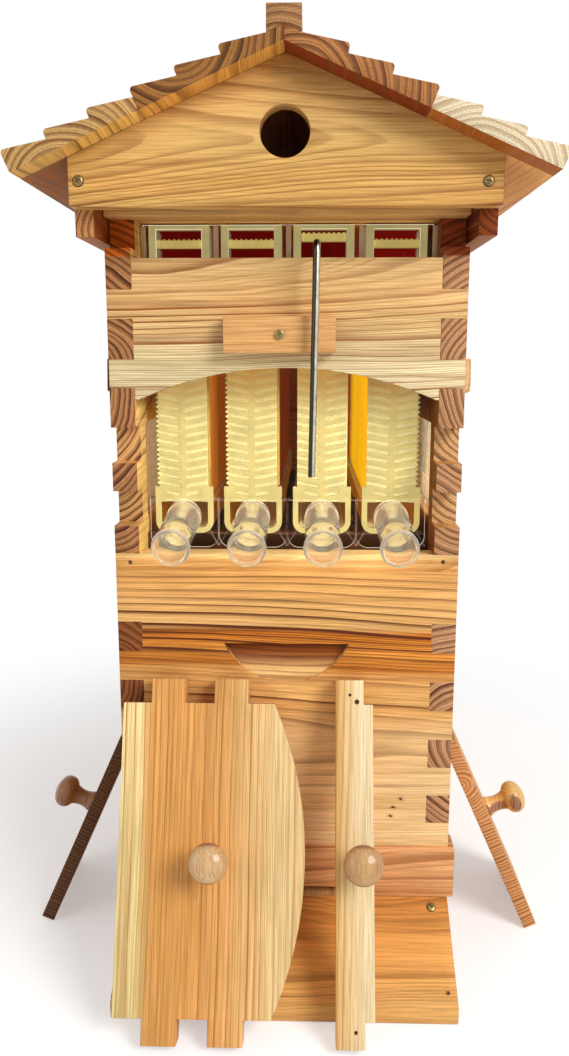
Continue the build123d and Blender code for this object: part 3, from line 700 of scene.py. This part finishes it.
def clearMaterial(name, look):
    material = newMaterial(name)
    coords = addNode("TexCoord").outputs
    place = coords["Object"]
    sides = split(place)
    if "lip" in look:  # painted light: a faint glow makes the wall milky and the lip a bright highlight
        front = fall(sides[1], look["lip"] - 0.0005, look["lip"] + 0.0005)
        edge = mixColour(front, tone(110, 108, 98), tone(236, 218, 200))
    else:  # painted highlights: sawn edges glow below the ridge and in the slot
        facing = calc("ABSOLUTE", split(coords["Normal"])[1])
        lit = calc("MAXIMUM", fall(sides[2], *edgeLevels["ridge"]), spread(sides[2], *edgeLevels["slot"]))
        edge = mixColour(times(fall(facing, 0.2, 0.8), lit), black, tone(236, 226, 204))
    colour = tone(*look["tint"])
    # painted shade: a pane seen at a slant turns dark brown on the left, pale cream on the right
    if "slantShade" in look:
        right = spread(sides[0], -0.01, 0.01)
        slant = addNode("LayerWeight").outputs["Facing"]
        left, other = look["slantShade"]
        colour = mixColour(spread(slant, 0.35, 0.7), colour, mixColour(right, tone(*left), tone(*other)))
    smear = noise(place, 38.0, 3.0, 0.6)
    shader = addNode("BsdfPrincipled", {
        "Base Color": colour, "Roughness": spread(smear, 0.35, 0.70, *look["haze"]),
        "Normal": relief(0.10, 0.0006, noise(place, 120.0)), "IOR": look["bend"],
        "Transmission Weight": look["clear"], "Emission Color": edge, "Emission Strength": look["glow"]})
    through = addNode("BsdfTransparent", {"Color": (0.95, 0.96, 0.94, 1)})
    shadow = addNode("LightPath").outputs["Is Shadow Ray"]
    surface(addNode("MixShader", {0: shadow, 1: shader.outputs[0], 2: through.outputs[0]}))
    return material


clearPlastic = clearMaterial("clear_plastic", coverLook)
dressNode("clear_end_covers", clearPlastic)
dressNode("side_panes", clearMaterial("pane_plastic", paneLook))


def metalMaterial(name, pale, dark, rough, shaded=None):
    material = newMaterial(name)
    coords = addNode("TexCoord").outputs
    place = coords["Object"]
    scratch = noise(stretched(place, (900.0, 900.0, 60.0), (0, 0, 0)), 1.0, 2.0, 0.6)
    tarnish = noise(place, 140.0, 3.0, 0.6)
    colour = mixColour(spread(tarnish, 0.40, 0.72), tone(*pale), tone(*dark))
    if shaded:  # painted reflection and shade: the left half of the rod darkened as if it mirrored a dark room
        colour = mixColour(fall(split(coords["Normal"])[0], -0.05, 0.25), colour, tone(*shaded))
    surface(addNode("BsdfPrincipled", {
        "Base Color": colour, "Metallic": 1.0, "Roughness": spread(scratch, 0.25, 0.75, *rough),
        "Normal": relief(0.15, 0.0003, scratch)}))
    return material


keySteel = metalMaterial("key_steel", (206, 200, 182), (176, 168, 150), (0.22, 0.38), (62, 58, 50))
screwBrass = metalMaterial("screw_brass", (150, 132, 86), (98, 82, 50), (0.28, 0.5))
nailIron = metalMaterial("nail_iron", (96, 84, 70), (58, 46, 36), (0.4, 0.6))
dressNode("harvest_key", keySteel)
dressNode("queen_excluder", metalMaterial("galvanised_steel", (128, 130, 130), (98, 100, 102), (0.5, 0.7)))
print("plastics and metals finished")


def fresh(name):  # a new primitive, named and alone
    piece = bpy.context.object
    piece.name = name
    alone(piece)
    return piece


def settle(piece):  # place goes into the mesh
    alone(piece)
    bpy.ops.object.transform_apply(location=True, rotation=True, scale=True)


def ownCopy(source, name, matrix, body):
    piece = bpy.data.objects.new(name, source.data.copy())
    scene.collection.objects.link(piece)
    piece.data.transform(matrix)
    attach(piece, body)
    return piece


def turnedTo(axis):
    return axis.to_track_quat("Z", "Y")


def standing(place, outward, turn=0.0):  # stands a piece made along Z on a surface
    tilt = turnedTo(Vector(outward)).to_matrix().to_4x4()
    return Matrix.Translation(place) @ tilt @ Matrix.Rotation(math.radians(turn), 4, "Z")


# honey tubes: collar at the cover, thin wall, rolled lip
tubeShape = {
    "fall": math.radians(7.0),
    "sides": 56,
    "lip": 0.0775,  # where the lip starts
    "rings": [(0.0, 0.0141), (0.0040, 0.0141), (0.0046, 0.0147), (0.0066, 0.0147), (0.0072, 0.0141),
              (0.0760, 0.0138), (0.0772, 0.0143), (0.0784, 0.0150), (0.0800, 0.0152), (0.0814, 0.0150),
              (0.0824, 0.0144), (0.0828, 0.0136), (0.0825, 0.0127), (0.0815, 0.0122), (0.0795, 0.0120),
              (0.0050, 0.0120), (0.0, 0.0120)],
}


def turnTube():
    low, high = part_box("honey_tube_1")
    way = Vector((0, -math.cos(tubeShape["fall"]), -math.sin(tubeShape["fall"])))
    rings = tubeShape["rings"]
    half = rings[0][1]
    start = Vector(((low.x + high.x) / 2, high.y + half * way.z, high.z + half * way.y))
    bpy.ops.object.select_all(action="DESELECT")
    bpy.ops.mesh.primitive_circle_add(vertices=tubeShape["sides"], radius=half, location=start,
                                      rotation=turnedTo(way).to_euler())
    piece = fresh("honey_tube_1_clear")
    bpy.ops.object.mode_set(mode="EDIT")
    bpy.ops.mesh.select_mode(type="EDGE")
    bpy.ops.mesh.select_all(action="SELECT")
    for (here, wide), (there, wider) in zip(rings, rings[1:]):
        bpy.ops.mesh.extrude_region_move(TRANSFORM_OT_translate={"value": way * (there - here)})
        bpy.ops.transform.resize(value=(wider / wide,) * 3, center_override=start + way * there)
    bpy.ops.mesh.select_all(action="DESELECT")
    bpy.ops.mesh.select_non_manifold()
    bpy.ops.mesh.bridge_edge_loops()
    bpy.ops.mesh.select_all(action="SELECT")
    bpy.ops.mesh.normals_make_consistent(inside=False)
    leaveEdit()
    settle(piece)
    smoothUnder(50)
    lip = start.y + way.y * tubeShape["lip"]
    piece.data.materials.append(clearMaterial("tube_plastic", {**tubeLook, "lip": lip}))
    return piece


firstTube = turnTube()
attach(firstTube, "tube_1")
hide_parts("honey_tube_1")
for number in (2, 3, 4):
    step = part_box("honey_tube_%d" % number)[0].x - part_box("honey_tube_1")[0].x
    tube = ownCopy(firstTube, "honey_tube_%d_clear" % number, Matrix.Translation((step, 0, 0)),
                   "tube_%d" % number)
    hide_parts("honey_tube_%d" % number)
print("tubes turned")

# toothed edges of the comb fronts and bars
teeth = {
    "edge": {"size": (0.0022, 0.0024, 0.0024), "pitch": 0.0040, "count": 44, "foot": 0.4200, "out": 0.0214,
             "behind": 0.0014, "tone": (240, 222, 150)},
    "lip": {"size": (0.0022, 0.0030, 0.1760), "sink": 0.002, "out": 0.0216, "behind": 0.0030, "tone": (196, 156, 66)},
    "bar": {"size": (0.0022, 0.0018, 0.0016), "pitch": 0.0040, "count": 9, "lift": 0.0003, "behind": 0.0012},
}
toothRound = 0.32  # share of a tooth's smallest side


def ivoryMaterial(name, colour):
    material = newMaterial(name)
    cloud = noise(addNode("TexCoord").outputs["Object"], 300.0)
    darker = tone(colour[0] - 24, colour[1] - 30, colour[2] - 44)
    surface(addNode("BsdfPrincipled", {
        "Base Color": mixColour(spread(cloud, 0.3, 0.7, 0.0, 0.35), tone(*colour), darker),
        "Roughness": spread(cloud, 0.3, 0.7, 0.22, 0.36), "Normal": relief(0.2, 0.0004, cloud)}))
    return material


def toothRow(name, size, step, count, colour):
    bpy.ops.object.select_all(action="DESELECT")
    bpy.ops.mesh.primitive_cube_add(size=1.0, location=(0, 0, 0))
    piece = fresh(name)
    editAll()
    bpy.ops.transform.resize(value=size)
    bpy.ops.mesh.bevel(offset=min(size) * toothRound, segments=2, affect="EDGES")
    leaveEdit()
    bpy.ops.object.modifier_add(type="ARRAY")
    row = piece.modifiers[-1]
    row.use_relative_offset = False
    row.use_constant_offset = True
    row.constant_offset_displace = step
    row.count = count
    bpy.ops.object.modifier_apply(modifier=row.name)
    smoothUnder(40)
    piece.data.materials.append(ivoryMaterial(name + "_ivory", colour))
    return piece


def combMiddle(number):
    low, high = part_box("harvest_frame_%d" % number)
    return (low.x + high.x) / 2


edge, lip, bar = teeth["edge"], teeth["lip"], teeth["bar"]
lipRow = toothRow("edge_lip", lip["size"], (0, 0, 0), 1, lip["tone"])
edgeRow = toothRow("edge_teeth", edge["size"], (0, 0, edge["pitch"]), edge["count"], edge["tone"])
barRow = toothRow("bar_teeth", bar["size"], (bar["pitch"], 0, 0), bar["count"], barTone)
for number in (1, 2, 3, 4):
    middle = combMiddle(number)
    outer = -1 if number < 3 else 1  # teeth on the outer edge
    if number != 3:  # the third comb's edge is plain
        spot = Vector((middle + outer * edge["out"], combFront + edge["behind"], edge["foot"]))
        ownCopy(edgeRow, "comb_%d_teeth" % number, Matrix.Translation(spot), "super")
    if number < 3:
        spot = Vector((middle + lip["out"], combFront + lip["behind"], edge["foot"] + lip["size"][2] / 2 - lip["sink"]))
        ownCopy(lipRow, "comb_%d_lip" % number, Matrix.Translation(spot), "super")
    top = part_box("lifting_comb_%d" % number)[1].z
    spot = Vector((middle - bar["pitch"] * (bar["count"] - 1) / 2, combFront + bar["behind"], top + bar["lift"]))
    ownCopy(barRow, "comb_%d_bar_teeth" % number, Matrix.Translation(spot), "comb_%d" % number)
for spare in (edgeRow, lipRow, barRow):
    bpy.data.objects.remove(spare)
print("teeth set")

# ridge, clips, corner ribs and upright edges moulded on the clear end covers
ridge = {"size": (0.0560, 0.0006, 0.0009), "height": 0.4062, "ease": 0.00025}
clip = {"size": (0.0048, 0.0008, 0.0030), "inset": 0.002, "out": 0.0006, "up": 0.0012, "ease": 0.0003}
rib = {"size": (0.0148, 0.0006, 0.0008), "across": 0.0252, "height": 0.3735, "tilt": 60.0, "ease": 0.0002}
stile = {"size": (0.0042, 0.0006, 0.0260), "aside": 0.0010, "drop": 0.0140, "ease": 0.0002, "tone": (224, 210, 172)}
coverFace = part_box("clear_end_covers")[0].y


def moulding(name, shape, across, height, finish, out=0.0, tilt=0.0):  # a soft-edged bar on the covers' face
    size = shape["size"]
    place = Vector((across, coverFace - size[1] / 2 - out, height))
    bpy.ops.object.select_all(action="DESELECT")
    bpy.ops.mesh.primitive_cube_add(size=1.0, location=place)
    piece = fresh(name)
    editAll()
    bpy.ops.transform.resize(value=size, center_override=place)
    bpy.ops.mesh.bevel(offset=shape["ease"], segments=2, affect="EDGES")
    bpy.ops.transform.rotate(value=math.radians(tilt), orient_axis="Y", center_override=place)
    leaveEdit()
    settle(piece)
    smoothUnder(40)
    piece.data.materials.append(finish)
    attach(piece, "super")
    return piece


for number in (1, 2, 3, 4):
    middle = combMiddle(number)
    moulding("cover_%d_ridge" % number, ridge, middle, ridge["height"], clearPlastic)
    for hand, sign in (("left", -1), ("right", 1)):
        moulding("cover_%d_clip_%s" % (number, hand), clip, middle + sign * (ridge["size"][0] / 2 - clip["inset"]),
                 ridge["height"] + clip["up"], clearPlastic, clip["out"])
        moulding("cover_%d_rib_%s" % (number, hand), rib, middle + sign * rib["across"], rib["height"],
                 clearPlastic, tilt=-sign * rib["tilt"])
low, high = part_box("harvest_frame_1")
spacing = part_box("harvest_frame_2")[0].x - low.x
firstStile = moulding("cover_stile_1", stile, (low.x + high.x - spacing) / 2 + stile["aside"],
                      high.z - stile["drop"], ivoryMaterial("stile_ivory", stile["tone"]))
for number in (2, 3, 4, 5):
    ownCopy(firstStile, "cover_stile_%d" % number, Matrix.Translation((spacing * (number - 1), 0, 0)),
            "super")
print("cover mouldings added")


# fasteners
def carve(piece, cutter, crossed=False):
    alone(piece)
    bpy.ops.object.modifier_add(type="BOOLEAN")
    cut = piece.modifiers[-1]
    cut.object = cutter
    cut.operation = "DIFFERENCE"
    cut.use_self = crossed
    bpy.ops.object.modifier_apply(modifier=cut.name)
    bpy.data.objects.remove(cutter)


screwShape = {"sides": 36, "depth": 0.003, "dome": ((0.16, 0.10), (0.30, 0.06)),
              "long": 1.15, "wide": 0.26, "deep": 0.9}  # the cross, as shares of the radius


def crossScrew(name, radius):
    depth, long, wide = screwShape["depth"], screwShape["long"], screwShape["wide"]
    bpy.ops.object.select_all(action="DESELECT")
    bpy.ops.mesh.primitive_cylinder_add(vertices=screwShape["sides"], radius=radius, depth=depth,
                                        location=(0, 0, -depth / 2))
    piece = fresh(name)
    bpy.ops.object.mode_set(mode="EDIT")
    bpy.ops.mesh.select_mode(type="FACE")
    bpy.ops.mesh.select_all(action="DESELECT")
    leaveEdit()
    for face in piece.data.polygons:
        face.select = face.normal.z > 0.9
    bpy.ops.object.mode_set(mode="EDIT")
    for share, rise in screwShape["dome"]:  # a low dome in two rings
        bpy.ops.mesh.inset(thickness=radius * share)
        bpy.ops.transform.translate(value=(0, 0, radius * rise))
    leaveEdit()
    bpy.ops.object.select_all(action="DESELECT")
    bpy.ops.mesh.primitive_cube_add(size=1.0, location=(0, 0, 0))
    cutter = fresh(name + "_cross")
    editAll()
    bpy.ops.transform.resize(value=(radius * long, radius * wide, radius * screwShape["deep"]))
    bpy.ops.mesh.duplicate()
    bpy.ops.transform.resize(value=(wide / long, long / wide, 1.0))
    leaveEdit()
    carve(piece, cutter, True)
    alone(piece)
    smoothUnder(30)
    piece.data.materials.append(screwBrass)
    return piece


overrun = 0.002  # how far a bit starts outside the wood
bitSides = 28


def drill(board, place, outward, mouth, bottom, deep):
    axis = Vector(outward).normalized()
    bpy.ops.object.select_all(action="DESELECT")
    bpy.ops.mesh.primitive_cone_add(vertices=bitSides, radius1=bottom, radius2=mouth, depth=deep + overrun,
                                    location=Vector(place) - axis * (deep - overrun) / 2,
                                    rotation=turnedTo(axis).to_euler())
    carve(board, fresh("drill_bit"))


landingUp = (0, -math.sin(landingRise), math.cos(landingRise))
stripOut = (0, -math.cos(leanFront), math.sin(leanFront))
forward = (0, -1, 0)
gableScrews = {  # side: board, way out, then place and turn of each screw
    "front": ("gable_front", forward, [((-0.1476, gableFace, 0.6483), 28), ((0.1440, gableFace, 0.6470), -14)]),
    "rear": ("gable_rear", (0, 1, 0), [((-0.1458, -gableFace, 0.6477), 40), ((0.1458, -gableFace, 0.6477), 8)]),
}
gableHole = {"seat": (0.0046, 0.0032, 0.0034), "sink": 0.0005}  # mouth, bottom and depth
bigScrew = crossScrew("gable_screw", 0.0036)
for side, (node, axis, screws) in gableScrews.items():
    for count, (place, turn) in enumerate(screws):
        drill(boards[node], place, axis, *gableHole["seat"])
        seat = Vector(place) - Vector(axis) * gableHole["sink"]
        ownCopy(bigScrew, "gable_screw_%s_%d" % (side, count + 1), standing(seat, axis, turn), "roof")
landingScrew = {"place": (0.1253, -0.2665, 0.0590), "turn": 33, "seat": (0.0046, 0.0030, 0.0034), "sink": 0.0006}
drill(boards["landing_board"], landingScrew["place"], landingUp, *landingScrew["seat"])
seat = Vector(landingScrew["place"]) - Vector(landingUp) * landingScrew["sink"]
ownCopy(bigScrew, "landing_screw", standing(seat, landingUp, landingScrew["turn"]), "base")
bpy.data.objects.remove(bigScrew)

# one screw through each turn block stands for the CAD screws
pivots = {
    "front_turn_block": ((-0.005, -0.269, 0.5419), forward, 20),
    "left_turn_block": ((-0.155, -0.150, 0.5049), (-1, 0, 0), -30),
    "right_turn_block": ((0.155, -0.150, 0.5049), (1, 0, 0), 12),
}
pivotLift = 0.0002
blockScrew = crossScrew("block_screw", 0.0035)
for node, (place, axis, turn) in pivots.items():
    seat = Vector(place) + Vector(axis) * pivotLift
    ownCopy(blockScrew, node + "_screw", standing(seat, axis, turn), "super")
bpy.data.objects.remove(blockScrew)
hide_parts("turn_screws")

nailShape = {"sides": 20, "radius": 0.0012, "depth": 0.002, "ease": 0.0004, "seat": (0.0019, 0.0014, 0.0022),
             "sink": 0.0009}
nails = [("super_rail", "super", (-0.1282, -0.254, 0.3597), forward),
         ("super_rail", "super", (0.1275, -0.254, 0.3613), forward),
         ("landing_board", "base", (0.1325, -0.3240, 0.0207), landingUp)]


def nailHead(name, place, outward):
    bpy.ops.object.select_all(action="DESELECT")
    depth = nailShape["depth"]
    bpy.ops.mesh.primitive_cylinder_add(vertices=nailShape["sides"], radius=nailShape["radius"], depth=depth,
                                        location=(0, 0, -depth / 2))
    piece = fresh(name)
    editAll()
    bpy.ops.mesh.bevel(offset=nailShape["ease"], segments=3, affect="EDGES")
    leaveEdit()
    piece.data.transform(standing(place, outward))
    smoothUnder(40)
    piece.data.materials.append(nailIron)
    return piece


for count, (node, body, place, axis) in enumerate(nails):
    drill(boards[node], place, axis, *nailShape["seat"])
    nail = nailHead("nail_%d" % (count + 1), Vector(place) - Vector(axis) * nailShape["sink"], axis)
    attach(nail, body)

stripHoles = [((0.0524, -0.2762, 0.2551), 0.0013), ((0.0581, -0.2782, 0.2500), 0.0021),
              ((0.0562, -0.3670, 0.0185), 0.0016)]
stripHole = {"deep": 0.008, "taper": 0.8}
for place, radius in stripHoles:
    drill(boards["access_strip"], place, stripOut, radius, radius * stripHole["taper"], stripHole["deep"])
print("fasteners set")

# floor, studio light and white surround
studio = {
    "floorSize": 14.0,
    "floorDrop": 0.0005,
    "floorColour": (236, 236, 236),
    "floorGlow": 0.39,
    "shadow": (0.25, 0.75),  # where the floor's shadow starts and ends fading
    "surroundLight": 0.37,
    "aim": (0, -0.2, 0.36),
    "key": ((1.5, -1.9, 1.75), 1.3, 52.0),  # place, size and power
    "fill": ((-2.0, -1.6, 1.2), 1.6, 11.0),
}


def seenRays():  # rays that show a surface to the camera
    rays = addNode("LightPath").outputs
    seen = calc("MAXIMUM", rays["Is Camera Ray"], rays["Is Glossy Ray"])
    return calc("MAXIMUM", seen, rays["Is Transmission Ray"])


def floorMaterial():
    material = newMaterial("studioFloor")
    place = addNode("TexCoord").outputs["Object"]
    grit = noise(place, 40.0)
    away = addNode("VectorMath", {0: place}, operation="LENGTH").outputs["Value"]
    seen = seenRays()
    rough = spread(grit, 0.3, 0.7, 0.75, 0.85)
    plain = addNode("BsdfPrincipled", {"Base Color": tone(*studio["floorColour"]), "Roughness": rough})
    glow = addNode("Emission", {"Color": white, "Strength": times(seen, studio["floorGlow"])})
    both = addNode("AddShader", {0: plain.outputs[0], 1: glow.outputs[0]})
    bright = addNode("Emission", {"Color": white, "Strength": 1.0})
    far = times(seen, spread(away, *studio["shadow"]))
    surface(addNode("MixShader", {0: far, 1: both.outputs[0], 2: bright.outputs[0]}))
    return material


bpy.ops.object.select_all(action="DESELECT")
bpy.ops.mesh.primitive_plane_add(size=studio["floorSize"], location=(0, 0, -studio["floorDrop"]))
floor = bpy.context.object
floor.name = "studioFloor"
floor.data.materials.append(floorMaterial())

world = bpy.data.worlds.new("studioSurround")
scene.world = world
world.use_nodes = True
world.node_tree.nodes.clear()
building.append(world.node_tree)
level = studio["surroundLight"]
strength = calc("MULTIPLY_ADD", seenRays(), 1.0 - level, level)
surround = addNode("Background", {"Color": white, "Strength": strength})
addNode("OutputWorld", {"Surface": surround.outputs[0]})


def softLamp(name, place, size, power):
    data = bpy.data.lights.new(name, "AREA")
    data.shape = "DISK"
    data.size = size
    data.energy = power
    lamp = bpy.data.objects.new(name, data)
    scene.collection.objects.link(lamp)
    lamp.location = place
    lamp.rotation_euler = (Vector(studio["aim"]) - Vector(place)).to_track_quat("-Z", "Y").to_euler()


softLamp("keyLamp", *studio["key"])
softLamp("fillLamp", *studio["fill"])
print("studio lit")
